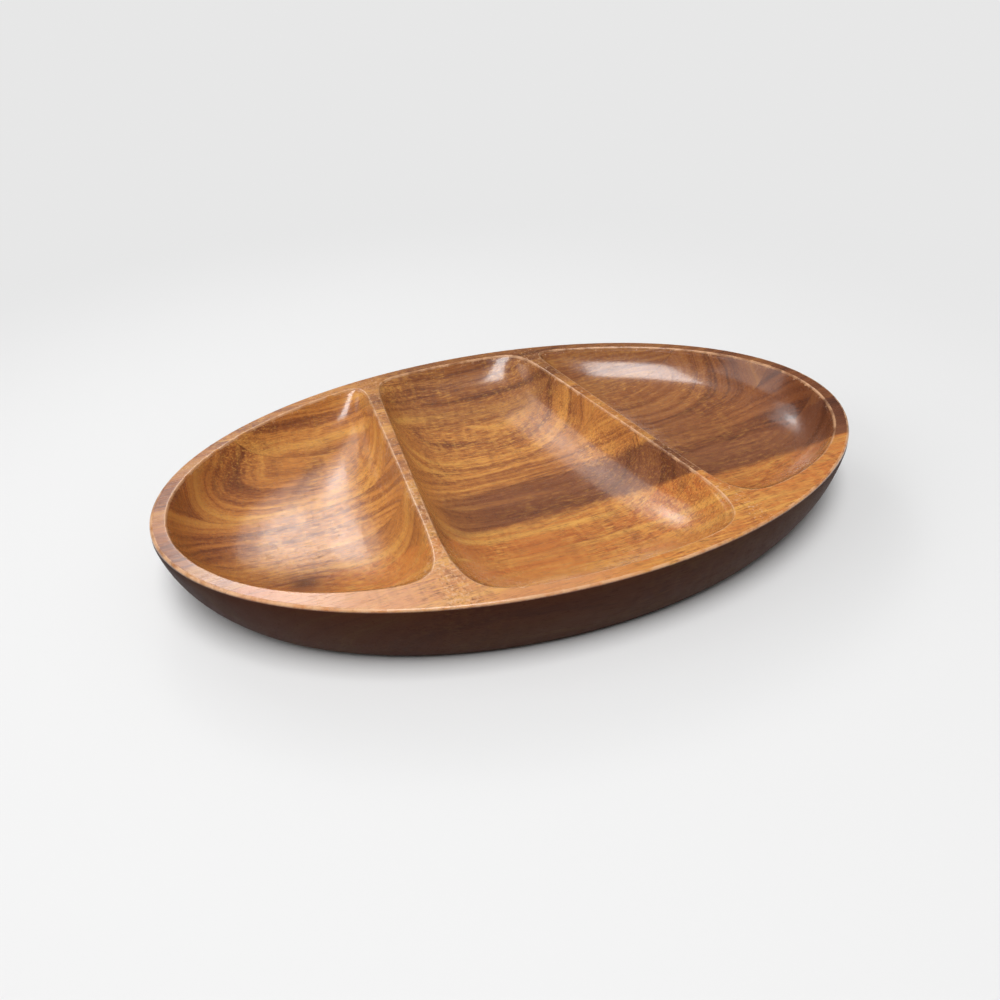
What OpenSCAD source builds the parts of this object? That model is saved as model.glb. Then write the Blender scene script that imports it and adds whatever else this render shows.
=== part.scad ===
// Oval serving bowl carved out of edge-glued boards, with three compartments.
// X runs along the bowl, Y away from its front, Z up. The origin is the centre of the flat base.
// The boards lie side by side across Y, and each holds its own share of rim, dividers and floor.

/* [Overall size] */
// Length of the oval over the rim
bowl_length = 380; // [330:5:440]
// Width of the oval over the rim
bowl_width = 248; // [216:2:290]
// Height from the flat base to the rim
bowl_height = 40; // [34:1:54]

/* [Rim and outer wall] */
// Width of the flat rim between the edge and a compartment
rim_width = 8; // [6:0.5:12]
// Height of the upright band that the outer wall starts with, under the rim
rim_band = 4; // [3:0.5:7]
// Rounding of the rim's outer edge
rim_edge_r = 1.5; // [0.5:0.25:2.5]
// How far the flat base lies in from the rim at the two ends
foot_inset = 23; // [14:1:34]
// How far the curved outer wall swells past a straight slope
wall_swell = 4; // [2:0.5:6]

/* [Compartments] */
// Thickness of the wood under the deepest place
floor_thickness = 14; // [9:1:20]
// Distance from the middle of the bowl to the middle of a divider's top
divider_place = 64; // [52:1:74]
// Thickness of a divider's top, half way across the bowl
divider_thickness = 5.5; // [4:0.5:8]
// Sideways run of the dividers for each unit toward the back
divider_lean_share = 0.105; // [0:0.005:0.16]
// How much more the inner face of a divider leans than its middle
divider_taper_share = 0.01; // [0:0.005:0.03]
// How far the end compartments would reach to the front without their round corners
end_front_reach = 98; // [84:1:110]
// Place of the lowest point of an end compartment, as a share of half the length
end_centre_share = 0.62; // [0.56:0.01:0.68]
// Power that rounds the front corners: a high one is sharp
front_corner_power = 7; // [5:1:12]
// Power that rounds the back corners
back_corner_power = 14; // [8:1:18]
// Power that rounds all the corners where they run out into the floor
floor_corner_power = 4; // [3:0.5:6]
// Power that flattens the floor: a high one is flat
floor_power = 3.2; // [2.4:0.1:4.5]
// Power that steepens the foot of the walls
wall_power = 2; // [1.6:0.1:2.6]

/* [Boards] */
// Places of the glued joints across the bowl, as shares of half the width
joint_shares = [-0.5, -0.1, 0.21, 0.6];

/* [Smoothness] */
// Straight stretches round a compartment
outline_steps = 72; // [48:12:84]
// Rings down a compartment's wall and floor
wall_rings = 5; // [4:1:6]

/* [Hidden] */
BOARD_COLOURS = ["#9c5a2a", "#7f4424", "#a8683a", "#955a30", "#8a4e2a"];

// Overrun of the cutting shapes past the wood
cut_over = 2;
// Facets of the round outer body
body_fn = 120;

half_length = bowl_length / 2;
half_width = bowl_width / 2;
inner_half_length = half_length - rim_width;
inner_half_width = half_width - rim_width;
pocket_depth = bowl_height - floor_thickness;

// The outer wall is an arc from the edge of the base up to the foot of the upright band
wall_top = bowl_height - rim_band;
base_half_length = half_length - foot_inset;
wall_chord = norm([foot_inset, wall_top]);
wall_arc_r = (wall_chord * wall_chord / 4 + wall_swell * wall_swell) / (2 * wall_swell);
chord_normal = [wall_top, -foot_inset] / wall_chord;
chord_middle = [half_length - foot_inset / 2, wall_top / 2];
wall_arc_centre = chord_middle - chord_normal * (wall_arc_r - wall_swell);

// A line [a, b, d] keeps a compartment where a * x + b * y is less than d
middle_half = divider_place - divider_thickness / 2;
end_start = divider_place + divider_thickness / 2;
middle_lean = divider_lean_share + divider_taper_share;
end_lean = divider_lean_share - divider_taper_share;
middle_lines = [[1, middle_lean, middle_half], [-1, middle_lean, middle_half]];
end_lines = [[-1, -end_lean, -end_start], [0, -1, end_front_reach]];
middle_centre = [0, 0];
end_centre = [end_centre_share * half_length, 0];

// Edges of the boards across the bowl, from the front to the back
board_edges = concat(
    [-half_width - cut_over],
    [for (share = joint_shares) share * half_width],
    [half_width + cut_over]
);

// Distance from a compartment's centre to the inner oval of the rim, along a unit direction
function oval_reach(centre, way) =
    let (
        a = pow(way.x / inner_half_length, 2) + pow(way.y / inner_half_width, 2),
        b = centre.x * way.x / pow(inner_half_length, 2) + centre.y * way.y / pow(inner_half_width, 2),
        c = pow(centre.x / inner_half_length, 2) + pow(centre.y / inner_half_width, 2) - 1
    )
    (sqrt(b * b - a * c) - b) / a;

// How hard a line pulls the outline in along a direction: one over the distance to the line
function line_pull(centre, way, line) =
    max(0, (line.x * way.x + line.y * way.y) / (line.z - line.x * centre.x - line.y * centre.y));

// Distance from the centre to the compartment's rounded outline: a power blend of all its limits.
// The corners grow rounder with the share of the depth reached.
function outline_reach(centre, lines, angle, depth_share) =
    let (
        way = [cos(angle), sin(angle)],
        lip_power = way.y < 0 ? front_corner_power : back_corner_power,
        power = lip_power + (floor_corner_power - lip_power) * depth_share,
        pulls = concat([1 / oval_reach(centre, way)], [for (line = lines) line_pull(centre, way, line)]),
        total = [for (pull = pulls) pow(pull, power)] * [for (pull = pulls) 1]
    )
    pow(total, -1 / power);

// The wall and floor follow one curve: the share of the outline left, and the depth, at each ring
function ring_angle(ring) = 90 * ring / wall_rings;
function ring_share(ring) = pow(cos(ring_angle(ring)), 2 / floor_power);
function ring_depth(ring) = pocket_depth * pow(sin(ring_angle(ring)), 2 / wall_power);

// The top ring carries the wall straight on past the rim
top_share = 1 + (1 - ring_share(1)) * cut_over / ring_depth(1);
ring_shares = concat([top_share], [for (ring = [1 : wall_rings - 1]) ring_share(ring)]);
ring_heights = concat(
    [bowl_height + cut_over],
    [for (ring = [1 : wall_rings - 1]) bowl_height - ring_depth(ring)]
);
ring_depth_shares = [for (ring = [0 : wall_rings - 1]) ring_depth(ring) / pocket_depth];

// Solid that is carved away for one compartment: rings round its centre, closed by its lowest point
module compartment(centre, lines) {
    angles = [for (step = [0 : outline_steps - 1]) 360 * step / outline_steps];
    ring_points = [
        for (ring = [0 : wall_rings - 1])
            for (angle = angles)
                let (reach = ring_shares[ring] * outline_reach(centre, lines, angle, ring_depth_shares[ring]))
                [centre.x + reach * cos(angle), centre.y + reach * sin(angle), ring_heights[ring]]
    ];
    lowest = [centre.x, centre.y, bowl_height - pocket_depth];
    lowest_index = wall_rings * outline_steps;
    cap = [for (step = [0 : outline_steps - 1]) outline_steps - 1 - step];
    wall_faces = [
        for (ring = [0 : wall_rings - 2])
            for (step = [0 : outline_steps - 1])
                let (
                    next = (step + 1) % outline_steps,
                    upper = ring * outline_steps,
                    lower = upper + outline_steps
                )
                each [
                    [upper + step, upper + next, lower + next],
                    [upper + step, lower + next, lower + step]
                ]
    ];
    last = (wall_rings - 1) * outline_steps;
    floor_faces = [
        for (step = [0 : outline_steps - 1])
            [last + step, last + (step + 1) % outline_steps, lowest_index]
    ];
    polyhedron(points = concat(ring_points, [lowest]), faces = concat([cap], wall_faces, floor_faces));
}

// Half section of the outer body: curved wall, upright band and rounded rim edge.
// A stub under the base is cut away with the boards, which leaves the base flat.
module wall_profile() {
    translate([0, -cut_over]) square([base_half_length, cut_over]);
    polygon([[0, 0], [base_half_length, 0], [half_length, wall_top], [0, wall_top]]);
    intersection() {
        translate(wall_arc_centre) circle(r = wall_arc_r, $fn = body_fn);
        square([half_length, wall_top]);
    }
    translate([0, wall_top]) square([half_length, rim_band - rim_edge_r]);
    translate([0, wall_top]) square([half_length - rim_edge_r, rim_band]);
    translate([half_length - rim_edge_r, bowl_height - rim_edge_r]) circle(r = rim_edge_r, $fn = body_fn / 4);
}

// The outer body: a revolved section drawn in to an oval
module outer_body() {
    scale([1, bowl_width / bowl_length, 1]) rotate_extrude($fn = body_fn) wall_profile();
}

// The three compartments, the end ones as mirror images
module compartments() {
    compartment(middle_centre, middle_lines);
    compartment(end_centre, end_lines);
    mirror([1, 0, 0]) compartment(end_centre, end_lines);
}

// Space that one board fills, from its front joint to its back joint and up from the flat base
module board_slab(place) {
    translate([-half_length - cut_over, board_edges[place], 0])
        cube([
            bowl_length + 2 * cut_over,
            board_edges[place + 1] - board_edges[place],
            bowl_height + cut_over
        ]);
}

module board(place) {
    color(BOARD_COLOURS[place])
        difference() {
            intersection() {
                outer_body();
                board_slab(place);
            }
            compartments();
        }
}

// The board along the front edge, with the front rim and the front ends of the dividers
module front_edge_board() { board(0); }

// The board behind it, through the front of all three compartments
module front_board() { board(1); }

// The board under the middle of the bowl
module centre_board() { board(2); }

// The board behind the middle
module back_board() { board(3); }

// The board along the back edge, with the back rim
module back_edge_board() { board(4); }

front_edge_board();
front_board();
centre_board();
back_board();
back_edge_board();
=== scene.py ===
# Dressing of an oval divided serving bowl: five glued boards, each a carved and lacquered piece.
# Lengths are in metres, and in the wood's shader in millimetres. MM is one millimetre in metres.
import math
import bmesh
import bpy
from mathutils import Matrix, Vector, noise


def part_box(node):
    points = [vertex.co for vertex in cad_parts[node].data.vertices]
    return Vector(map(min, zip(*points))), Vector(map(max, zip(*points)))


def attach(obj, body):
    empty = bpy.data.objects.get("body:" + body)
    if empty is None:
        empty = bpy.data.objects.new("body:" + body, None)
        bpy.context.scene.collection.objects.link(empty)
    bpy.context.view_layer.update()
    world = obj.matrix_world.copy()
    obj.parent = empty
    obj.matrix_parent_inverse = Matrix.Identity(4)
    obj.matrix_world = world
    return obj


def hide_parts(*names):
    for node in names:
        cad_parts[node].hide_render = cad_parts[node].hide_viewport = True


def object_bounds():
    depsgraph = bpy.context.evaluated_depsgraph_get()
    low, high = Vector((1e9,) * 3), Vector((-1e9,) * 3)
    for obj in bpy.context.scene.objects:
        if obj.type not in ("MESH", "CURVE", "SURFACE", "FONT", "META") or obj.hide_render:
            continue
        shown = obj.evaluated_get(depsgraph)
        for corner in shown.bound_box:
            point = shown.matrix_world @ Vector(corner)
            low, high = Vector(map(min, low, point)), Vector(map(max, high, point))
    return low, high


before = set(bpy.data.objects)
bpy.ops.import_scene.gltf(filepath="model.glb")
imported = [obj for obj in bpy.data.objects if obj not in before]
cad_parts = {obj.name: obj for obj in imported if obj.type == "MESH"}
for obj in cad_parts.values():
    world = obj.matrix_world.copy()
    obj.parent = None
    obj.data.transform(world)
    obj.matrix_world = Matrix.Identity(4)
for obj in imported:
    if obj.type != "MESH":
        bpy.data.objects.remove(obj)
CAD_LOW, CAD_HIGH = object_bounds()
MM = 0.001

# Boards from the front to the back, and the body that they belong to
BOARDS = ["front_edge_board", "front_board", "centre_board", "back_board", "back_edge_board"]
BODY = "root"

# Overall sizes, measured on the frame
LENGTH = CAD_HIGH.x - CAD_LOW.x
WIDTH = CAD_HIGH.y - CAD_LOW.y
HEIGHT = CAD_HIGH.z
HALF_LENGTH = LENGTH / 2
HALF_WIDTH = WIDTH / 2
JOINTS = [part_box(name)[1].y for name in BOARDS[:-1]]

# Rim and outer wall
RIM_WIDTH = 8 * MM
RIM_EDGE_R = 1.5 * MM
RIM_BAND = 4 * MM
FOOT_INSET = 23 * MM
WALL_SWELL = 4 * MM
FOOT_EDGE_R = 2 * MM

# Compartments
FLOOR_THICKNESS = 14 * MM
POCKET_DEPTH = HEIGHT - FLOOR_THICKNESS
DIVIDER_PLACE = 64 * MM
DIVIDER_THICKNESS = 5.5 * MM
DIVIDER_LEAN = 0.105
DIVIDER_TAPER = 0.01
END_FRONT_REACH = 98 * MM
END_CENTRE_SHARE = 0.62
FRONT_CORNER_POWER = 7
BACK_CORNER_POWER = 14
FLOOR_CORNER_POWER = 4
FLOOR_POWER = 3.2
WALL_POWER = 2
LIP_R = 0.9 * MM
# Strength of the easing that draws a wall in under its lip: the most is 4/27 of it, a third of the way down
WALL_EASE = 12 * MM
# Power of the depth share that rounds the corners: a low one rounds them soon below the lip
CORNER_EASE = 0.35

# Fineness of the meshes
AROUND = 480
POCKET_AROUND = 420
POCKET_RINGS = 40
LIP_STEPS = 5
WALL_STEPS = 14
# Trial points on an outline for each point that is kept
OUTLINE_FINENESS = 8

# Flat rings on the rim round a lip: distance from it, and the value of the edge mark there
LIP_RINGS = [(1.1 * MM, 0.0), (0.4 * MM, 0.35)]
# The edge mark below a lip: its value at the lip, and the depth at which it ends
EDGE_BELOW_LIP = 0.6
EDGE_END_DEPTH = 5 * MM
# Flat rings on the rim inside its rounded outer edge: distance from the rounding
RIM_EDGE_RINGS = [1.0 * MM, 0.35 * MM]
# Rings round the foot: distance out from the foot line, and height
FOOT_RINGS = [(0.6 * MM, 0.9 * MM), (-0.2 * MM, 0.3 * MM), (-1.2 * MM, 0.0), (-3 * MM, 0.0)]

# Slots of a board's two materials, and the mark of its glued faces while it is cut
LACQUERED = 0
# Slot of the outside material, whose dark colour is painted shade
PAINTED_SHADE_SLOT = 1
GLUED = 1
# The outer wall, whose dark colour is painted shade, ends at this share of the rim edge's rounding below
# the top
PAINTED_SHADE_TOP_SHARE = 0.9
# Faces whose normal points down more than this belong to the base
BASE_NORMAL = -0.5
# Distance within which a vertex counts as lying on a glue plane
CUT_TOLERANCE = 1e-7

INNER_HALF_LENGTH = HALF_LENGTH - RIM_WIDTH
INNER_HALF_WIDTH = HALF_WIDTH - RIM_WIDTH


def oval_reach(centre, way):
    """Distance from a point to the inner oval of the rim along a unit direction."""
    a = (way[0] / INNER_HALF_LENGTH) ** 2 + (way[1] / INNER_HALF_WIDTH) ** 2
    b = centre[0] * way[0] / INNER_HALF_LENGTH ** 2 + centre[1] * way[1] / INNER_HALF_WIDTH ** 2
    c = (centre[0] / INNER_HALF_LENGTH) ** 2 + (centre[1] / INNER_HALF_WIDTH) ** 2 - 1
    return (math.sqrt(b * b - a * c) - b) / a


def outline_reach(centre, lines, angle, depth_share=0.0):
    """Distance from a compartment's centre to its rounded outline: a power blend of all its limits."""
    way = (math.cos(angle), math.sin(angle))
    lip_power = FRONT_CORNER_POWER if way[1] < 0 else BACK_CORNER_POWER
    power = lip_power + (FLOOR_CORNER_POWER - lip_power) * depth_share
    total = oval_reach(centre, way) ** -power
    for a, b, d in lines:
        pull = (a * way[0] + b * way[1]) / (d - a * centre[0] - b * centre[1])
        total += max(0.0, pull) ** power
    return total ** (-1 / power)


MIDDLE_LEAN = DIVIDER_LEAN + DIVIDER_TAPER
END_LEAN = DIVIDER_LEAN - DIVIDER_TAPER
MIDDLE_HALF = DIVIDER_PLACE - DIVIDER_THICKNESS / 2
END_START = DIVIDER_PLACE + DIVIDER_THICKNESS / 2
MIDDLE_LINES = [(1, MIDDLE_LEAN, MIDDLE_HALF), (-1, MIDDLE_LEAN, MIDDLE_HALF)]
RIGHT_LINES = [(-1, -END_LEAN, -END_START), (0, -1, END_FRONT_REACH)]
LEFT_LINES = [(1, -END_LEAN, -END_START), (0, -1, END_FRONT_REACH)]
END_CENTRE = END_CENTRE_SHARE * HALF_LENGTH
POCKETS = [
    ((-END_CENTRE, 0.0), LEFT_LINES),
    ((0.0, 0.0), MIDDLE_LINES),
    ((END_CENTRE, 0.0), RIGHT_LINES),
]


def even_outline(centre, lines, count):
    """The outline of a compartment as points at even spacing, with the outward normal at each."""
    fine = count * OUTLINE_FINENESS
    dense = []
    for step in range(fine):
        angle = 2 * math.pi * step / fine
        reach = outline_reach(centre, lines, angle)
        x = centre[0] + reach * math.cos(angle)
        y = centre[1] + reach * math.sin(angle)
        dense.append(Vector((x, y)))
    lengths = [0.0]
    for step in range(fine):
        lengths.append(lengths[-1] + (dense[(step + 1) % fine] - dense[step]).length)
    points = []
    step = 0
    for index in range(count):
        target = lengths[-1] * index / count
        while lengths[step + 1] < target:
            step += 1
        share = (target - lengths[step]) / (lengths[step + 1] - lengths[step])
        points.append(dense[step].lerp(dense[(step + 1) % fine], share))
    normals = []
    for index in range(count):
        along = points[(index + 1) % count] - points[index - 1]
        normals.append(Vector((along.y, -along.x)).normalized())
    return points, normals


# How much the hand-sanded surfaces wander, and over what distance
FLOOR_WANDER = 0.22 * MM
FLOOR_WANDER_SIZE = 34 * MM
WANDER_SHIFT = Vector((3.1, 7.7, 1.3))
# How many times faster the wander sets in than the depth grows
WANDER_RISE = 2

# How worn the lips are: the most, the sizes of worn stretches and chips, and their shares
LIP_WEAR = 0.35 * MM
LIP_WEAR_SIZE = 5.5 * MM
LIP_CHIP_SIZE = LIP_WEAR_SIZE / 3
LIP_WEAR_SHARE = 0.7
LIP_CHIP_SHARE = 0.4
WEAR_START = 0.28
WEAR_GAIN = 2
# How far wear moves a lip out and down, for each unit of it
WEAR_OUT = 0.7
WEAR_DOWN = 0.6


def lip_wear(point):
    """How far a lip is worn or chipped down at a point."""
    stretch = noise.noise(point / LIP_WEAR_SIZE) * LIP_WEAR_SHARE
    chip = noise.noise(point / LIP_CHIP_SIZE) * LIP_CHIP_SHARE
    return LIP_WEAR * max(0.0, stretch + chip - WEAR_START) * WEAR_GAIN


def floor_wander(point, weight):
    """Slow rise and fall of the carved floor and walls."""
    return FLOOR_WANDER * weight * noise.noise(point / FLOOR_WANDER_SIZE + WANDER_SHIFT)


class Shell:
    """Mesh of the whole carved bowl before it is cut into boards.

    Its layers hold the mark of rounded edges, which the wood's shader reads, and the smooth normals.
    """

    def __init__(self):
        self.mesh = bmesh.new()
        self.edge = self.mesh.verts.layers.float.new("edge")
        self.normal = self.mesh.verts.layers.float_vector.new("shell_normal")

    def ring(self, points, edge):
        """A ring of vertices, all with the same edge mark."""
        ring = []
        for point in points:
            vert = self.mesh.verts.new(point)
            vert[self.edge] = edge
            ring.append(vert)
        return ring

    def band(self, outer, inner):
        """The faces between two rings."""
        count = len(outer)
        for step in range(count):
            after = (step + 1) % count
            self.mesh.faces.new((outer[step], outer[after], inner[after], inner[step]))

    def fan(self, ring, centre, up):
        """The faces from a ring to one point, facing up or down."""
        tip = self.mesh.verts.new(centre)
        count = len(ring)
        for step in range(count):
            after = (step + 1) % count
            pair = (ring[step], ring[after]) if up else (ring[after], ring[step])
            self.mesh.faces.new((pair[0], pair[1], tip))


def pocket(shell, centre, lines):
    """Carved compartment: two flat rings on the rim, the rounded lip, then wall and floor to one tip."""
    points, normals = even_outline(centre, lines, POCKET_AROUND)
    rings = []
    for out, edge in LIP_RINGS:
        rings.append(shell.ring([
            (p.x + n.x * (LIP_R + out), p.y + n.y * (LIP_R + out), HEIGHT)
            for p, n in zip(points, normals)
        ], edge))
    for step in range(LIP_STEPS + 1):
        turn = math.pi / 2 * step / LIP_STEPS
        out = LIP_R * (1 - math.sin(turn))
        drop = LIP_R * (1 - math.cos(turn))
        wear_weight = math.sin(math.pi * (step + 1) / (LIP_STEPS + 2))
        ring = []
        for p, n in zip(points, normals):
            worn = lip_wear(Vector((p.x, p.y, 0))) * wear_weight
            reach = out + worn * WEAR_OUT
            ring.append((p.x + n.x * reach, p.y + n.y * reach, HEIGHT - drop - worn * WEAR_DOWN))
        rings.append(shell.ring(ring, 1.0))
    start = math.asin((LIP_R / POCKET_DEPTH) ** (WALL_POWER / 2))
    for step in range(1, POCKET_RINGS):
        turn = start + (math.pi / 2 - start) * step / POCKET_RINGS
        share = math.cos(turn) ** (2 / FLOOR_POWER)
        depth_share = math.sin(turn) ** (2 / WALL_POWER)
        depth = POCKET_DEPTH * depth_share
        weight = min(1.0, depth_share * WANDER_RISE)
        ease = WALL_EASE * depth_share * (1 - depth_share) ** 2
        ring = []
        for p in points:
            angle = math.atan2(p.y - centre[1], p.x - centre[0])
            outline = outline_reach(centre, lines, angle, depth_share ** CORNER_EASE)
            reach = share * outline - ease
            x = centre[0] + reach * math.cos(angle)
            y = centre[1] + reach * math.sin(angle)
            ring.append((x, y, HEIGHT - depth + floor_wander(Vector((x, y, 0)), weight)))
        rings.append(shell.ring(ring, max(0.0, 1 - depth / EDGE_END_DEPTH) * EDGE_BELOW_LIP))
    for upper, lower in zip(rings, rings[1:]):
        shell.band(upper, lower)
    tip = (centre[0], centre[1], HEIGHT - POCKET_DEPTH + floor_wander(Vector((*centre, 0)), 1.0))
    shell.fan(rings[-1], tip, True)
    return rings[0]


def wall_sections():
    """Half section of the outer body from the rim down to the base, as radius and height."""
    wall_top = HEIGHT - RIM_BAND
    chord = math.hypot(FOOT_INSET, wall_top)
    radius = (chord * chord / 4 + WALL_SWELL ** 2) / (2 * WALL_SWELL)
    middle = Vector((HALF_LENGTH - FOOT_INSET / 2, wall_top / 2))
    centre = middle - Vector((wall_top, -FOOT_INSET)) / chord * (radius - WALL_SWELL)
    top_angle = math.atan2(wall_top - centre.y, HALF_LENGTH - centre.x)
    foot_angle = math.atan2(-centre.y, HALF_LENGTH - FOOT_INSET - centre.x)
    sections = [(HALF_LENGTH - RIM_EDGE_R - inset, HEIGHT) for inset in RIM_EDGE_RINGS]
    for step in range(LIP_STEPS + 2):
        turn = math.pi / 2 * step / (LIP_STEPS + 1)
        sections.append((
            HALF_LENGTH - RIM_EDGE_R * (1 - math.sin(turn)),
            HEIGHT - RIM_EDGE_R * (1 - math.cos(turn)),
        ))
    for step in range(WALL_STEPS):
        angle = top_angle + (foot_angle - top_angle) * step / WALL_STEPS
        spot = centre + Vector((math.cos(angle), math.sin(angle))) * radius
        if spot.y > FOOT_EDGE_R:
            sections.append((spot.x, spot.y))
    foot = HALF_LENGTH - FOOT_INSET
    return sections + [(foot + out, height) for out, height in FOOT_RINGS]


def outer_body(shell):
    """Outer wall, rim edge and flat base. Gives back the innermost ring on the rim."""
    rings = []
    rounded = range(len(RIM_EDGE_RINGS), len(RIM_EDGE_RINGS) + LIP_STEPS + 1)
    for number, (radius, height) in enumerate(wall_sections()):
        edge = 1.0 if number in rounded else 0.0
        ring = []
        for step in range(AROUND):
            angle = 2 * math.pi * step / AROUND
            x = radius * math.cos(angle)
            y = radius * math.sin(angle) * WIDTH / LENGTH
            ring.append((x, y, height))
        rings.append(shell.ring(ring, edge))
    for upper, lower in zip(rings, rings[1:]):
        shell.band(lower, upper)
    shell.fan(rings[-1], (0, 0, 0), False)
    return rings[0]


def loop_edges(mesh, ring):
    """The edges that join a ring's vertices in turn."""
    return [mesh.edges.get(pair) for pair in zip(ring, ring[1:] + ring[:1])]


def carved_shell():
    """The closed skin of the whole bowl, with its smooth normals kept in a layer."""
    shell = Shell()
    mesh = shell.mesh
    loops = [outer_body(shell)] + [pocket(shell, centre, lines) for centre, lines in POCKETS]
    edges = [edge for ring in loops for edge in loop_edges(mesh, ring)]
    bmesh.ops.triangle_fill(mesh, use_beauty=True, use_dissolve=False, edges=edges, normal=(0, 0, 1))
    bmesh.ops.recalc_face_normals(mesh, faces=mesh.faces[:])
    mesh.normal_update()
    for vert in mesh.verts:
        vert[shell.normal] = vert.normal
    return mesh


def on_outside(face):
    """Whether a face belongs to the outer wall or base, which get the dark colour of painted shade."""
    centre = face.calc_center_median()
    outward = face.normal.x * centre.x / HALF_LENGTH ** 2 + face.normal.y * centre.y / HALF_WIDTH ** 2
    wall_reach = HALF_LENGTH - FOOT_INSET * (1 - centre.z / HEIGHT) - RIM_BAND
    near_edge = math.hypot(centre.x, centre.y * LENGTH / WIDTH) > wall_reach
    on_wall = centre.z < HEIGHT - RIM_EDGE_R * PAINTED_SHADE_TOP_SHARE and outward > 0 and near_edge
    return on_wall or face.normal.z < BASE_NORMAL


def cut_at(mesh, place, side):
    """Cuts away what lies beyond one glue plane, and closes the cut with flat faces."""
    cut = bmesh.ops.bisect_plane(
        mesh,
        geom=mesh.verts[:] + mesh.edges[:] + mesh.faces[:],
        dist=CUT_TOLERANCE,
        plane_co=(0, place, 0),
        plane_no=(0, side, 0),
        clear_outer=True,
    )
    rim = [
        item for item in cut["geom_cut"]
        if isinstance(item, bmesh.types.BMEdge) and item.is_boundary
    ]
    filled = bmesh.ops.triangle_fill(
        mesh, use_beauty=True, use_dissolve=False, edges=rim, normal=(0, side, 0)
    )
    for item in filled["geom"]:
        if isinstance(item, bmesh.types.BMFace):
            item.material_index = GLUED


def cut_board(shell, name, low, high):
    """One board: the part of the shell between two glue planes. None stands for no plane there."""
    mesh = shell.copy()
    if low is not None:
        cut_at(mesh, low, -1)
    if high is not None:
        cut_at(mesh, high, 1)
    bmesh.ops.recalc_face_normals(mesh, faces=mesh.faces[:])
    layer = mesh.verts.layers.float_vector.get("shell_normal")
    normals = []
    for face in mesh.faces:
        face.smooth = True
        for loop in face.loops:
            flat = face.material_index == GLUED
            normals.append(face.normal.copy() if flat else loop.vert[layer].normalized())
        # Outer wall and base take the material whose dark colour is painted shade
        face.material_index = PAINTED_SHADE_SLOT if on_outside(face) else LACQUERED
    data = bpy.data.meshes.new(name)
    mesh.to_mesh(data)
    mesh.free()
    data.normals_split_custom_set(normals)
    return data


class Nodes:
    """Short ways to write a shader's node tree."""

    def __init__(self, name):
        self.material = bpy.data.materials.new(name)
        self.material.use_nodes = True
        self.tree = self.material.node_tree
        self.tree.nodes.clear()

    def add(self, kind, **settings):
        node = self.tree.nodes.new(kind)
        for key, value in settings.items():
            setattr(node, key, value)
        return node

    def join(self, source, target):
        """Sets a socket to a plain value, or links another node's output to it."""
        if isinstance(source, (int, float, tuple)):
            target.default_value = source
        else:
            self.tree.links.new(source, target)

    def math(self, operation, first, second=0.0):
        node = self.add("ShaderNodeMath", operation=operation)
        self.join(first, node.inputs[0])
        self.join(second, node.inputs[1])
        return node.outputs[0]

    def plus(self, first, second):
        return self.math("ADD", first, second)

    def minus(self, first, second):
        return self.math("SUBTRACT", first, second)

    def times(self, first, *others):
        for other in others:
            first = self.math("MULTIPLY", first, other)
        return first

    def largest(self, first, *others):
        for other in others:
            first = self.math("MAXIMUM", first, other)
        return first

    def weighted(self, *pairs):
        """The sum of values, each times its weight."""
        total = self.times(*pairs[0])
        for value, weight in pairs[1:]:
            total = self.plus(total, self.times(value, weight))
        return total

    def squares(self, first, second):
        """The sum of two squares."""
        return self.plus(self.math("POWER", first, 2.0), self.math("POWER", second, 2.0))

    def swing(self, value, reach):
        """A noise value, which is 0.5 on average, as a move to either side."""
        return self.times(self.minus(value, 0.5), reach)

    def bell(self, distance, spread):
        """A soft spot: one at no distance, near zero past twice the spread."""
        share = self.math("DIVIDE", distance, spread)
        return self.math("EXPONENT", self.times(share, share, -0.5))

    def vector(self, operation, first, second):
        node = self.add("ShaderNodeVectorMath", operation=operation)
        self.join(first, node.inputs[0])
        self.join(second, node.inputs[1])
        return node.outputs[0]

    def combine(self, x, y, z):
        node = self.add("ShaderNodeCombineXYZ")
        for socket, value in zip(node.inputs, (x, y, z)):
            self.join(value, socket)
        return node.outputs[0]

    def noise(self, vector, detail, roughness, distortion=0.0):
        node = self.add("ShaderNodeTexNoise", noise_dimensions="3D")
        self.join(vector, node.inputs["Vector"])
        node.inputs["Scale"].default_value = 1.0
        node.inputs["Detail"].default_value = detail
        node.inputs["Roughness"].default_value = roughness
        node.inputs["Distortion"].default_value = distortion
        return node.outputs["Fac"]

    def pattern(self, place, stretch, detail, roughness, distortion=0.0):
        """Noise drawn out by its cells for each millimetre along x, y and z."""
        return self.noise(self.vector("MULTIPLY", place, stretch), detail, roughness, distortion)

    def step(self, value, low, high, out_low=0.0, out_high=1.0):
        """A smooth change from one value at low to another at high."""
        node = self.add("ShaderNodeMapRange", interpolation_type="SMOOTHSTEP")
        self.join(value, node.inputs["Value"])
        node.inputs["From Min"].default_value = low
        node.inputs["From Max"].default_value = high
        node.inputs["To Min"].default_value = out_low
        node.inputs["To Max"].default_value = out_high
        return node.outputs[0]

    def mix(self, share, first, second, blend="MIX"):
        """The first colour, with a share of the second."""
        node = self.add("ShaderNodeMix", data_type="RGBA", blend_type=blend, clamp_factor=True)
        self.join(share, node.inputs[0])
        self.join(first, node.inputs[6])
        self.join(second, node.inputs[7])
        return node.outputs[2]

    def ramp(self, value, stops):
        """A colour by a value, from a list of places and colours."""
        node = self.add("ShaderNodeValToRGB")
        ramp = node.color_ramp
        while len(ramp.elements) < len(stops):
            ramp.elements.new(0.5)
        for element, (place, colour) in zip(ramp.elements, stops):
            element.position = place
            element.color = colour
        self.join(value, node.inputs[0])
        return node.outputs[0]


def colour(red, green, blue):
    """A colour written as on a screen, 0 to 255, as the linear value that a shader takes."""
    def linear(value):
        value /= 255
        return value / 12.92 if value <= 0.04045 else ((value + 0.055) / 1.055) ** 2.4
    return (linear(red), linear(green), linear(blue), 1.0)


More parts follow.
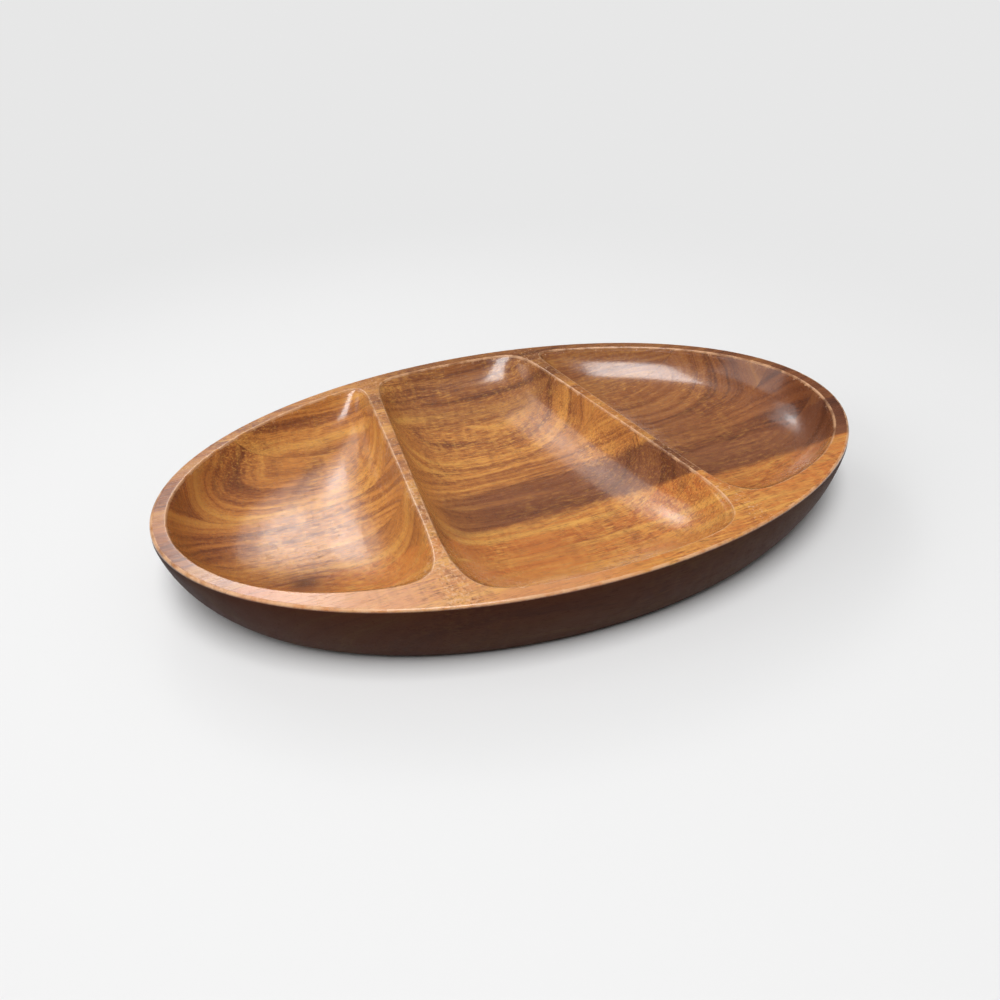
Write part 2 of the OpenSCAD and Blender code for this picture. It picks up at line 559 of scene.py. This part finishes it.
# Colours of the lacquered wood
GOLD = colour(230, 168, 84)
HONEY = colour(202, 130, 64)
BROWN = colour(156, 92, 48)
DARK = colour(112, 62, 36)
PLUM = colour(124, 72, 50)
DEEP = colour(60, 28, 17)
ORANGE = colour(212, 122, 56)
# Pale colour of real wear on lips and chips, also used as painted sheen on the front left rim
WORN_AND_SHEEN = colour(222, 172, 128)
# Painted shade: near-black brown of the outer wall, standing in for its shadow
WALL_PAINTED_SHADE = colour(42, 14, 6)

# Per board: shift of the figure, pith place (y, z) in millimetres, and tone against the others
BOARD_FIGURE = {
    "front_edge_board": ((0.0, 0.0, 0.0), (-190.0, -70.0), 1.04),
    "front_board": ((41.0, 7.0, 3.0), (48.0, -62.0), 0.98),
    "centre_board": ((-63.0, 19.0, 11.0), (-78.0, -58.0), 1.03),
    "back_board": ((87.0, -31.0, 5.0), (140.0, -70.0), 1.0),
    "back_edge_board": ((-21.0, 53.0, -9.0), (10.0, -60.0), 0.96),
}

# Noise patterns: cells for each millimetre along x, y and z, detail, roughness and distortion
SWAY = ((0.007, 0.015, 0.015), 2.0, 0.5)
RIPPLE = ((0.05, 0.05, 0.05), 2.0, 0.5)
FIBRE = ((0.05, 0.9, 0.9), 4.0, 0.7)
FLECK = ((0.15, 1.0, 1.0), 3.0, 0.7, 0.3)
CURL = ((0.30, 0.09, 0.09), 2.0, 0.5, 0.5)
PORE = ((0.14, 2.6, 2.6), 1.0, 0.5)
PATCH = ((0.008, 0.05, 0.05), 3.0, 0.55)
ZONE = ((0.021, 0.017, 0.017), 2.0, 0.5)
WAVER = ((0.014, 0.0, 0.0), 2.0, 0.5)
RUB = ((0.13, 0.13, 0.13), 3.0, 0.6)
CHIP = ((0.62, 0.5, 0.5), 3.0, 0.62)

# Growth layers: cells for each millimetre along and across them, and detail
LAYERS_WIDE = (0.004, 0.07, 2.0)
LAYERS_MID = (0.01, 0.30, 3.0)
LAYERS_FINE = (0.02, 1.25, 2.0)
LAYER_ROUGHNESS = 0.6
# How far they sway, ripple and bend round the knot, in millimetres
SWAY_REACH = 26.0
RIPPLE_REACH = 3.5
KNOT_BEND = 17.0
# Shares of the wide, middle and fine layers and of the fibres in the figure
FIGURE_SHARES = (0.36, 0.30, 0.14, 0.20)

# Colours by the height of the figure: plain wood, heartwood, and the warm wood along the front
PLAIN_WOOD = [(0.36, DARK), (0.44, BROWN), (0.51, HONEY), (0.60, GOLD)]
HEARTWOOD = [(0.36, DEEP), (0.46, DARK), (0.54, PLUM), (0.64, BROWN)]
WARM_WOOD = [(0.36, BROWN), (0.45, ORANGE), (0.53, HONEY), (0.60, GOLD)]

# Below, a range is two values between which something changes smoothly, and if it isn't from nothing
# to all, its strength at each. Places are in millimetres.

# Heights at the rim, half sizes of the oval, and place of a divider's middle line
RIM_TOP = HEIGHT / MM
OVAL_X = HALF_LENGTH / MM
OVAL_Y = HALF_WIDTH / MM
DIVIDER_X = 64.0
DIVIDER_RUN = 0.1

# Heartwood band: its edges at the rim, and its lean to the back and softness for each unit down
BAND_LEAN = 1.1
BAND_FRONT = -62.0
BAND_BACK = -24.0
BAND_SOFTNESS = 0.8
BAND_SOFTENING = 0.15
BAND_FRONT_RANGE = (-1.0, 1.0)
BAND_BACK_RANGE = (-1.5, 1.8, 1.0, 0.0)
# How far its edges waver and fray, and the shares of that at each edge and place
WAVER_REACH = 3.4
FRAY_REACH = 3.0
FRONT_FRAY = 0.7
BACK_FRAY = 1.6
FAR_FRAY = 1.5
FADE_WAVER = 4.0
# Where it fades in from the left, where the right end darkens, and where the far part lies
BAND_X_RANGE = (-78.0, -20.0, 0.10, 1.0)
RIGHT_X_RANGE = (60.0, 88.0)
FAR_X_RANGE = (-60.0, -20.0)
FAR_Y_RANGE = (64.0, 84.0)
FAR_SLANT = 0.2
# Depth of colour of the band, the right end and the far part, and of the warm wood in front
BAND_SHARE = 0.88
RIGHT_SHARE = 0.66
FAR_SHARE = 0.6
WARM_SHARE = 0.8

# Painted sheen: a pale stretch of the rim at the front left, standing in for the lamps' sheen there
RIM_SHEEN_X_RANGE = (10.0, -30.0)
RIM_SHEEN_Y_RANGE = (-60.0, -85.0)
RIM_SHEEN_Z_RANGE = (RIM_TOP - 1.2, RIM_TOP - 0.3)
RIM_SHEEN_SHARE = 0.38

# Tone patches, darker ends, flecks and pores
PATCH_RANGE = (0.48, 0.70, 0.0, 0.32)
PATCH_SHARE = 0.6
LEFT_END_RANGE = (-168.0, -128.0, 0.42, 0.0)
RIGHT_END_RANGE = (150.0, 182.0, 0.0, 0.4)
ZONE_RANGE = (0.38, 0.60, 0.25, 1.0)
ZONE_X_RANGE = (130.0, 170.0, 1.0, 0.15)
GOLD_CURL_RANGE = (0.50, 0.66, 0.0, 0.30)
DARK_CURL_RANGE = (0.34, 0.48, 0.26, 0.0)
GOLD_FLECK_RANGE = (0.52, 0.66, 0.0, 0.8)
DARK_FLECK_RANGE = (0.34, 0.47, 0.62, 0.0)
GOLD_LOSS_IN_HEART = 0.7
PORE_RANGE = (0.60, 0.70)
PORE_SHARE = 0.45

# Knot in the left compartment: place, spread, and its purple core and dark eye
KNOT = (-128.0, -38.0)
KNOT_SPREAD = 15.0
KNOT_SLENDERNESS = 0.72
KNOT_STREAK_RANGE = (0.36, 0.60, 1.0, 0.35)
KNOT_CORE_SPREAD = KNOT_SPREAD * 0.62
KNOT_CORE_SHARE = 0.95
KNOT_EYE_SPREAD = KNOT_SPREAD * 0.24
KNOT_EYE_SHARE = 0.7

# Dark veins behind the knot: start, direction, spread and strength
VEINS = [
    ((-84.0, 84.0), (-0.62, -0.78), 3.2, 0.55),
    ((-97.0, 74.0), (-0.5, -0.87), 2.4, 0.4),
]
VEIN_MIDDLE = 26.0
VEIN_LENGTH = 18.0
VEIN_WAVER = 2.0
VEIN_RIPPLE = 1.4
VEIN_RANGE = (0.34, 0.62, 1.0, 0.45)

# Rubbed lips, and chips and stains on the divider tops and near the lips
LIP_RANGE = (0.8, 1.0)
LIP_RUB_RANGE = (0.38, 0.62, 0.15, 0.8)
NEAR_LIP_RANGE = (0.2, 0.6)
NEAR_LIP_RUB_RANGE = (0.46, 0.56)
DIVIDER_RANGE = (4.0, 8.0, 1.0, 0.0)
DIVIDER_Z_RANGE = (RIM_TOP - 0.9, RIM_TOP - 0.2)
CHIP_RANGE = (0.595, 0.64)
CHIP_STAIN_RANGE = (0.30, 0.43, 0.6, 0.0)
CHIP_SHARE = 0.85
# Stretch of the left divider with more chips
CHIPPED_X_RANGE = (-40.0, 0.0, 0.055, 0.0)
CHIPPED_Y_RANGE = (10.0, -20.0)

# Painted shade on the outer wall, its start on the rim's rounded edge, and the glued joints
PAINTED_SHADE_SHARE = 0.95
RIM_PAINTED_SHADE_SHARE = 0.8
RIM_PAINTED_SHADE_Z_RANGE = (RIM_TOP - 1.5, RIM_TOP - 0.5, 1.0, 0.0)
RIM_PAINTED_SHADE_OVAL_RANGE = (0.965, 0.99)
GLUE_RANGE = (0.05, 0.28, 1.0, 0.0)
GLUE_SHARE = 0.35

# Relief of flecks, pores, fine layers and chips, and its strength and height
FLECK_RELIEF = 0.5
PORE_RELIEF = -0.7
LAYER_RELIEF = 0.2
CHIP_RELIEF = -1.2
BUMP_STRENGTH = 0.45
BUMP_DISTANCE = 0.12 * MM

# Lacquer inside and on the rim, dull outside under the painted shade: roughness, specular level and coat
GLOSS = (0.26, 0.5, 0.6)
DULL = (0.55, 0.1, 0.0)
COAT_ROUGHNESS = 0.14
IOR = 1.48
# Roughness that rubbing, pores and wear add
RUB_ROUGHNESS = 0.2
PORE_ROUGHNESS = 0.2
WEAR_ROUGHNESS = 0.2


class Wood(Nodes):
    """Wood of one board, in millimetres of object space. Each step lays its colours over the last."""

    def __init__(self, board, lacquered):
        # The outside material's dark colour is painted shade
        super().__init__(board + ("_lacquered" if lacquered else "_stained"))
        self.lacquered = lacquered
        self.shift, self.pith, self.tone = BOARD_FIGURE[board]
        place = self.add("ShaderNodeTexCoord").outputs["Object"]
        self.place = self.vector("MULTIPLY", place, (1 / MM, 1 / MM, 1 / MM))
        self.shifted = self.vector("ADD", self.place, self.shift)
        split = self.add("ShaderNodeSeparateXYZ")
        self.join(self.place, split.inputs[0])
        self.x, self.y, self.z = split.outputs

    def cover(self, share, top, blend="MIX"):
        """Lays a colour over the wood."""
        self.base = self.mix(share, self.base, top, blend)

    def growth(self):
        """Growth layers round the pith, bent by a slow sway and by the knot, with fibres between."""
        sway = self.swing(self.pattern(self.shifted, *SWAY), SWAY_REACH)
        self.ripple = self.swing(self.pattern(self.shifted, *RIPPLE), RIPPLE_REACH)
        from_pith = self.squares(self.minus(self.y, self.pith[0]), self.minus(self.z, self.pith[1]))
        ring = self.plus(self.plus(self.math("SQRT", from_pith), sway), self.ripple)
        knot_x = self.times(self.minus(self.x, KNOT[0]), KNOT_SLENDERNESS)
        knot_y = self.minus(self.y, KNOT[1])
        self.to_knot = self.math("SQRT", self.squares(knot_x, knot_y))
        ring = self.plus(ring, self.times(self.bell(self.to_knot, KNOT_SPREAD), KNOT_BEND))

        def layers(along, across, detail, seed):
            spot = self.combine(self.times(self.x, along), self.times(ring, across), seed)
            return self.noise(spot, detail, LAYER_ROUGHNESS)

        layers_wide = layers(*LAYERS_WIDE, self.shift[1])
        self.layers_mid = layers(*LAYERS_MID, self.shift[2])
        self.layers_fine = layers(*LAYERS_FINE, self.shift[0])
        self.fibre = self.pattern(self.shifted, *FIBRE)
        parts = (layers_wide, self.layers_mid, self.layers_fine, self.fibre)
        self.figure = self.weighted(*zip(parts, FIGURE_SHARES))

    def heartwood(self):
        """Dark band across the middle and right that leans back, and warm wood in front of it."""
        drop = self.largest(self.minus(RIM_TOP, self.z), 0.0)
        across = self.minus(self.y, self.times(drop, BAND_LEAN))
        softness = self.plus(BAND_SOFTNESS, self.times(drop, BAND_SOFTENING))
        self.waver = self.swing(self.pattern(self.place, *WAVER), WAVER_REACH)
        frayed = self.times(self.plus(self.waver, self.swing(self.fibre, FRAY_REACH)), softness)

        def past(edge, fray):
            """How far the wood lies behind an edge of the band, against the edge's softness."""
            off = self.plus(self.minus(across, edge), self.times(frayed, fray))
            return self.math("DIVIDE", off, softness)

        behind = self.step(past(BAND_FRONT, FRONT_FRAY), *BAND_FRONT_RANGE)
        wavy_x = self.plus(self.x, self.times(self.waver, FADE_WAVER))
        band = self.times(
            behind,
            self.step(past(BAND_BACK, BACK_FRAY), *BAND_BACK_RANGE),
            self.step(wavy_x, *BAND_X_RANGE),
        )
        right = self.times(self.step(wavy_x, *RIGHT_X_RANGE), behind)
        frayed_y = self.plus(self.y, self.times(frayed, FAR_FRAY))
        slanted_y = self.plus(frayed_y, self.times(self.x, FAR_SLANT))
        far = self.times(self.step(slanted_y, *FAR_Y_RANGE), self.step(self.x, *FAR_X_RANGE))
        self.heart = self.largest(
            self.times(band, BAND_SHARE), self.times(right, RIGHT_SHARE), self.times(far, FAR_SHARE)
        )
        self.base = self.ramp(self.figure, PLAIN_WOOD)
        self.cover(self.heart, self.ramp(self.figure, HEARTWOOD))
        in_front = self.minus(1.0, behind)
        self.cover(self.times(in_front, WARM_SHARE), self.ramp(self.figure, WARM_WOOD))

    def paint_rim_sheen(self):
        """Painted sheen: the rim at the front left, tinted pale where the lamps' sheen falls."""
        spot = self.times(
            self.step(self.z, *RIM_SHEEN_Z_RANGE),
            self.step(self.y, *RIM_SHEEN_Y_RANGE),
            self.step(self.x, *RIM_SHEEN_X_RANGE),
        )
        self.cover(self.times(spot, RIM_SHEEN_SHARE), WORN_AND_SHEEN)

    def flecks(self):
        """Tone patches, darker ends, golden and dark flecks in some zones, and pores."""
        patch = self.pattern(self.shifted, *PATCH)
        self.cover(self.step(patch, *PATCH_RANGE), self.mix(PATCH_SHARE, self.base, DARK))
        left_end = self.step(self.x, *LEFT_END_RANGE)
        right_end = self.step(self.x, *RIGHT_END_RANGE)
        self.cover(self.largest(left_end, right_end), BROWN, "MULTIPLY")

        zone = self.step(self.pattern(self.place, *ZONE), *ZONE_RANGE)
        zone = self.times(zone, self.step(self.math("ABSOLUTE", self.x), *ZONE_X_RANGE))
        curl = self.pattern(self.shifted, *CURL)
        not_heart = self.minus(1.0, self.heart)
        self.cover(self.times(self.step(curl, *GOLD_CURL_RANGE), zone, not_heart), GOLD)
        self.cover(self.times(self.step(curl, *DARK_CURL_RANGE), zone), DARK)
        self.fleck = self.pattern(self.shifted, *FLECK)
        less_in_heart = self.minus(1.0, self.times(self.heart, GOLD_LOSS_IN_HEART))
        bright = self.step(self.fleck, *GOLD_FLECK_RANGE)
        self.cover(self.times(bright, zone, less_in_heart), GOLD)
        self.cover(self.times(self.step(self.fleck, *DARK_FLECK_RANGE), zone), DARK)
        self.pore = self.step(self.pattern(self.shifted, *PORE), *PORE_RANGE)
        self.cover(self.times(self.pore, PORE_SHARE), DEEP)

    def knot(self):
        """The knot, with a dark purple core and streaks, and the dark veins."""
        streaks = self.step(self.layers_mid, *KNOT_STREAK_RANGE)
        core = self.times(self.bell(self.to_knot, KNOT_CORE_SPREAD), streaks)
        self.cover(self.times(core, KNOT_CORE_SHARE), PLUM)
        eye = self.bell(self.to_knot, KNOT_EYE_SPREAD)
        self.cover(self.times(eye, KNOT_EYE_SHARE), DEEP)
        for start, way, spread, strength in VEINS:
            from_x = self.minus(self.plus(self.x, self.times(self.waver, VEIN_WAVER)), start[0])
            from_y = self.minus(self.plus(self.y, self.times(self.ripple, VEIN_RIPPLE)), start[1])
            aside = self.minus(self.times(from_x, way[1]), self.times(from_y, way[0]))
            along = self.plus(self.times(from_x, way[0]), self.times(from_y, way[1]))
            length = self.bell(self.minus(along, VEIN_MIDDLE), VEIN_LENGTH)
            broken = self.step(self.fibre, *VEIN_RANGE)
            self.cover(self.times(self.bell(aside, spread), length, broken, strength), DARK)

    def wear(self):
        """Rubbed lips, and chips and stains on the divider tops."""
        edge = self.add("ShaderNodeAttribute", attribute_name="edge").outputs["Fac"]
        self.rub = self.pattern(self.place, *RUB)
        self.worn = self.times(self.step(edge, *LIP_RANGE), self.step(self.rub, *LIP_RUB_RANGE))
        self.cover(self.worn, WORN_AND_SHEEN)
        top = self.step(self.z, *DIVIDER_Z_RANGE)
        divider_x = self.minus(DIVIDER_X, self.times(self.y, DIVIDER_RUN))
        to_divider = self.math("ABSOLUTE", self.minus(self.math("ABSOLUTE", self.x), divider_x))
        ridge = self.times(self.step(to_divider, *DIVIDER_RANGE), top)
        chip = self.pattern(self.place, *CHIP)
        more = self.times(self.step(self.x, *CHIPPED_X_RANGE), self.step(self.y, *CHIPPED_Y_RANGE))
        near_lip = self.times(
            self.step(edge, *NEAR_LIP_RANGE), self.step(self.rub, *NEAR_LIP_RUB_RANGE)
        )
        chipped = self.step(self.plus(chip, more), *CHIP_RANGE)
        self.chips = self.times(chipped, self.largest(ridge, near_lip))
        self.cover(self.times(self.step(chip, *CHIP_STAIN_RANGE), ridge), DEEP)
        self.cover(self.times(self.chips, CHIP_SHARE), WORN_AND_SHEEN)

    def paint_outer_shade(self):
        """Painted shade: a dark colour on the outer wall, which on the lacquered faces starts on the rim's
        rounded edge.
        """
        painted_shade = PAINTED_SHADE_SHARE
        if self.lacquered:
            round_x = self.math("DIVIDE", self.x, OVAL_X)
            round_y = self.math("DIVIDE", self.y, OVAL_Y)
            low = self.step(self.z, *RIM_PAINTED_SHADE_Z_RANGE)
            outside = self.step(self.squares(round_x, round_y), *RIM_PAINTED_SHADE_OVAL_RANGE)
            painted_shade = self.times(low, outside, RIM_PAINTED_SHADE_SHARE)
        self.cover(painted_shade, WALL_PAINTED_SHADE)
        self.cover(1.0, (self.tone, self.tone, self.tone, 1.0), "MULTIPLY")

    def glue_lines(self):
        """A thin dark line along each glued joint."""
        lines = []
        for joint in JOINTS:
            near = self.math("ABSOLUTE", self.minus(self.y, joint / MM))
            lines.append(self.step(near, *GLUE_RANGE))
        self.cover(self.times(self.largest(*lines), GLUE_SHARE), DEEP)

    def surface(self):
        """Colour, relief and gloss in one shader."""
        bump = self.add("ShaderNodeBump")
        bump.inputs["Strength"].default_value = BUMP_STRENGTH
        bump.inputs["Distance"].default_value = BUMP_DISTANCE
        height = self.weighted(
            (self.fleck, FLECK_RELIEF),
            (self.pore, PORE_RELIEF),
            (self.layers_fine, LAYER_RELIEF),
            (self.chips, CHIP_RELIEF),
        )
        self.join(height, bump.inputs["Height"])
        roughness, specular, coat = GLOSS if self.lacquered else DULL
        rough = self.plus(roughness, self.swing(self.rub, RUB_ROUGHNESS))
        rough = self.plus(rough, self.times(self.pore, PORE_ROUGHNESS))
        bare = self.largest(self.worn, self.chips)
        rough = self.plus(rough, self.times(bare, WEAR_ROUGHNESS))
        shader = self.add("ShaderNodeBsdfPrincipled")
        self.join(self.base, shader.inputs["Base Color"])
        self.join(rough, shader.inputs["Roughness"])
        self.join(bump.outputs[0], shader.inputs["Normal"])
        shader.inputs["IOR"].default_value = IOR
        shader.inputs["Specular IOR Level"].default_value = specular
        shader.inputs["Coat Weight"].default_value = coat
        shader.inputs["Coat Roughness"].default_value = COAT_ROUGHNESS
        out = self.add("ShaderNodeOutputMaterial")
        self.join(shader.outputs[0], out.inputs["Surface"])


def wood(board, lacquered):
    """The wood of a board: lacquered inside and on the rim, or dull outside and darkened by painted shade.
    """
    look = Wood(board, lacquered)
    look.growth()
    look.heartwood()
    # Painted sheen on the front left rim
    look.paint_rim_sheen()
    look.flecks()
    look.knot()
    look.wear()
    # Painted shade on the outer wall
    look.paint_outer_shade()
    look.glue_lines()
    look.surface()
    return look.material


def make_boards():
    """All five boards, each in place of its solid."""
    shell = carved_shell()
    lows = [None] + JOINTS
    highs = JOINTS + [None]
    for name, low, high in zip(BOARDS, lows, highs):
        data = cut_board(shell, name + "_carved", low, high)
        piece = bpy.data.objects.new(name + "_carved", data)
        bpy.context.scene.collection.objects.link(piece)
        data.materials.append(wood(name, True))
        data.materials.append(wood(name, False))
        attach(piece, BODY)
        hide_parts(name)
    shell.free()


# Camera, found by fitting the seen rim and compartment edges: place in millimetres from the rim's
# centre, and angles in degrees
CAMERA_FROM_RIM = (-170.7, -399.7, 241.6)
CAMERA_AZIMUTH = -21.54
CAMERA_ELEVATION = 32.36
CAMERA_ROLL = -2.0
# Focal length as a share of the sensor's width
CAMERA_FOCAL_SHARE = 0.9335
SENSOR_WIDTH = 36.0
CLIP_START = 10 * MM


def make_camera():
    """A camera at the photograph's place, with its lens."""
    azimuth = math.radians(CAMERA_AZIMUTH)
    elevation = math.radians(CAMERA_ELEVATION)
    roll = math.radians(CAMERA_ROLL)
    back = Vector((
        math.sin(azimuth) * math.cos(elevation),
        -math.cos(azimuth) * math.cos(elevation),
        math.sin(elevation),
    ))
    right = (-back).cross(Vector((0, 0, 1))).normalized()
    up = back.cross(right)
    turned_right = math.cos(roll) * right + math.sin(roll) * up
    turned_up = math.cos(roll) * up - math.sin(roll) * right
    data = bpy.data.cameras.new("camera")
    data.sensor_width = SENSOR_WIDTH
    data.lens = CAMERA_FOCAL_SHARE * SENSOR_WIDTH
    data.clip_start = CLIP_START
    camera = bpy.data.objects.new("camera", data)
    bpy.context.scene.collection.objects.link(camera)
    spot = Vector(CAMERA_FROM_RIM) * MM + Vector((0, 0, HEIGHT))
    turn = Matrix((turned_right, turned_up, back)).transposed()
    camera.matrix_world = Matrix.Translation(spot) @ turn.to_4x4()
    bpy.context.scene.camera = camera


def area_light(name, place, size, power):
    """A soft rectangular lamp that faces the bowl."""
    data = bpy.data.lights.new(name, "AREA")
    data.shape = "RECTANGLE"
    data.size, data.size_y = size
    data.energy = power
    lamp = bpy.data.objects.new(name, data)
    lamp.location = place
    lamp.rotation_euler = Vector(place).to_track_quat("Z", "Y").to_euler()
    bpy.context.scene.collection.objects.link(lamp)


# Lamps: name, place and size in metres, and radiant power. The softbox gives the highlights on the back
# walls, the window and its pane the sheen on the rim and the left floor.
LAMPS = [
    ("softbox", (-0.62, -1.48, 4.02), (1.7, 3.2), 160.0),
    ("window", (-0.26, 1.51, 1.27), (1.3, 0.75), 4.4),
    ("window_pane", (-0.05, 1.35, 1.02), (0.30, 0.26), 1.2),
    ("left_fill", (-2.5, 0.2, 1.5), (2.5, 1.8), 20.0),
]

# Floor: half its side, its tint, and the even tone that the camera sees past the bowl's shadow
FLOOR_REACH = 14.0
FLOOR_TINT = 0.80
FLOOR_SHOWN = 0.80
# Distances from the bowl's middle between which that tone sets in
SHOWN_FROM = 0.24
SHOWN_FULL = 0.62

# Strength of the surrounding light low down and overhead, and the rise of direction where it starts to grow
WORLD_LOW = 0.10
WORLD_HIGH = 0.28
WORLD_RISE_START = 0.3


def make_floor():
    """Wide pale floor. Far from the bowl it shows one even tone, and near it keeps the shadow."""
    mesh = bpy.data.meshes.new("floor")
    reach = FLOOR_REACH
    corners = [(-reach, -reach, 0), (reach, -reach, 0), (reach, reach, 0), (-reach, reach, 0)]
    mesh.from_pydata(corners, [], [(0, 1, 2, 3)])
    floor = bpy.data.objects.new("floor", mesh)
    bpy.context.scene.collection.objects.link(floor)
    n = Nodes("floor")
    place = n.add("ShaderNodeTexCoord").outputs["Object"]
    away = n.add("ShaderNodeVectorMath", operation="LENGTH")
    n.join(place, away.inputs[0])
    path = n.add("ShaderNodeLightPath")
    seen = n.largest(path.outputs["Is Camera Ray"], path.outputs["Is Glossy Ray"])
    share = n.times(n.step(away.outputs["Value"], SHOWN_FROM, SHOWN_FULL), seen)
    cloth = n.add("ShaderNodeBsdfDiffuse")
    cloth.inputs["Color"].default_value = (FLOOR_TINT, FLOOR_TINT, FLOOR_TINT, 1.0)
    shown = n.add("ShaderNodeEmission")
    shown.inputs["Color"].default_value = (FLOOR_SHOWN, FLOOR_SHOWN, FLOOR_SHOWN, 1.0)
    both = n.add("ShaderNodeMixShader")
    n.join(share, both.inputs[0])
    n.join(cloth.outputs[0], both.inputs[1])
    n.join(shown.outputs[0], both.inputs[2])
    out = n.add("ShaderNodeOutputMaterial")
    n.join(both.outputs[0], out.inputs["Surface"])
    mesh.materials.append(n.material)


def make_world():
    """Soft light all round, brighter from above than from the sides, in front of an even pale ground."""
    world = bpy.data.worlds.new("studio")
    bpy.context.scene.world = world
    world.use_nodes = True
    tree = world.node_tree
    tree.nodes.clear()
    way = tree.nodes.new("ShaderNodeTexCoord")
    split = tree.nodes.new("ShaderNodeSeparateXYZ")
    rise = tree.nodes.new("ShaderNodeMapRange")
    rise.inputs["From Min"].default_value = WORLD_RISE_START
    rise.inputs["From Max"].default_value = 1.0
    rise.inputs["To Min"].default_value = WORLD_LOW
    rise.inputs["To Max"].default_value = WORLD_HIGH
    lit = tree.nodes.new("ShaderNodeBackground")
    lit.inputs["Color"].default_value = (1.0, 1.0, 1.0, 1.0)
    shown = tree.nodes.new("ShaderNodeBackground")
    shown.inputs["Color"].default_value = (FLOOR_SHOWN, FLOOR_SHOWN, FLOOR_SHOWN, 1.0)
    seen = tree.nodes.new("ShaderNodeLightPath")
    pick = tree.nodes.new("ShaderNodeMixShader")
    out = tree.nodes.new("ShaderNodeOutputWorld")
    tree.links.new(way.outputs["Generated"], split.inputs[0])
    tree.links.new(split.outputs[2], rise.inputs["Value"])
    tree.links.new(rise.outputs[0], lit.inputs["Strength"])
    tree.links.new(seen.outputs["Is Camera Ray"], pick.inputs[0])
    tree.links.new(lit.outputs[0], pick.inputs[1])
    tree.links.new(shown.outputs[0], pick.inputs[2])
    tree.links.new(pick.outputs[0], out.inputs["Surface"])


def make_studio():
    """Pale floor, soft surroundings, a large softbox above the front left and a window behind."""
    make_floor()
    for lamp in LAMPS:
        area_light(*lamp)
    make_world()


make_boards()
make_camera()
make_studio()
bpy.context.scene.view_settings.view_transform = "Standard"
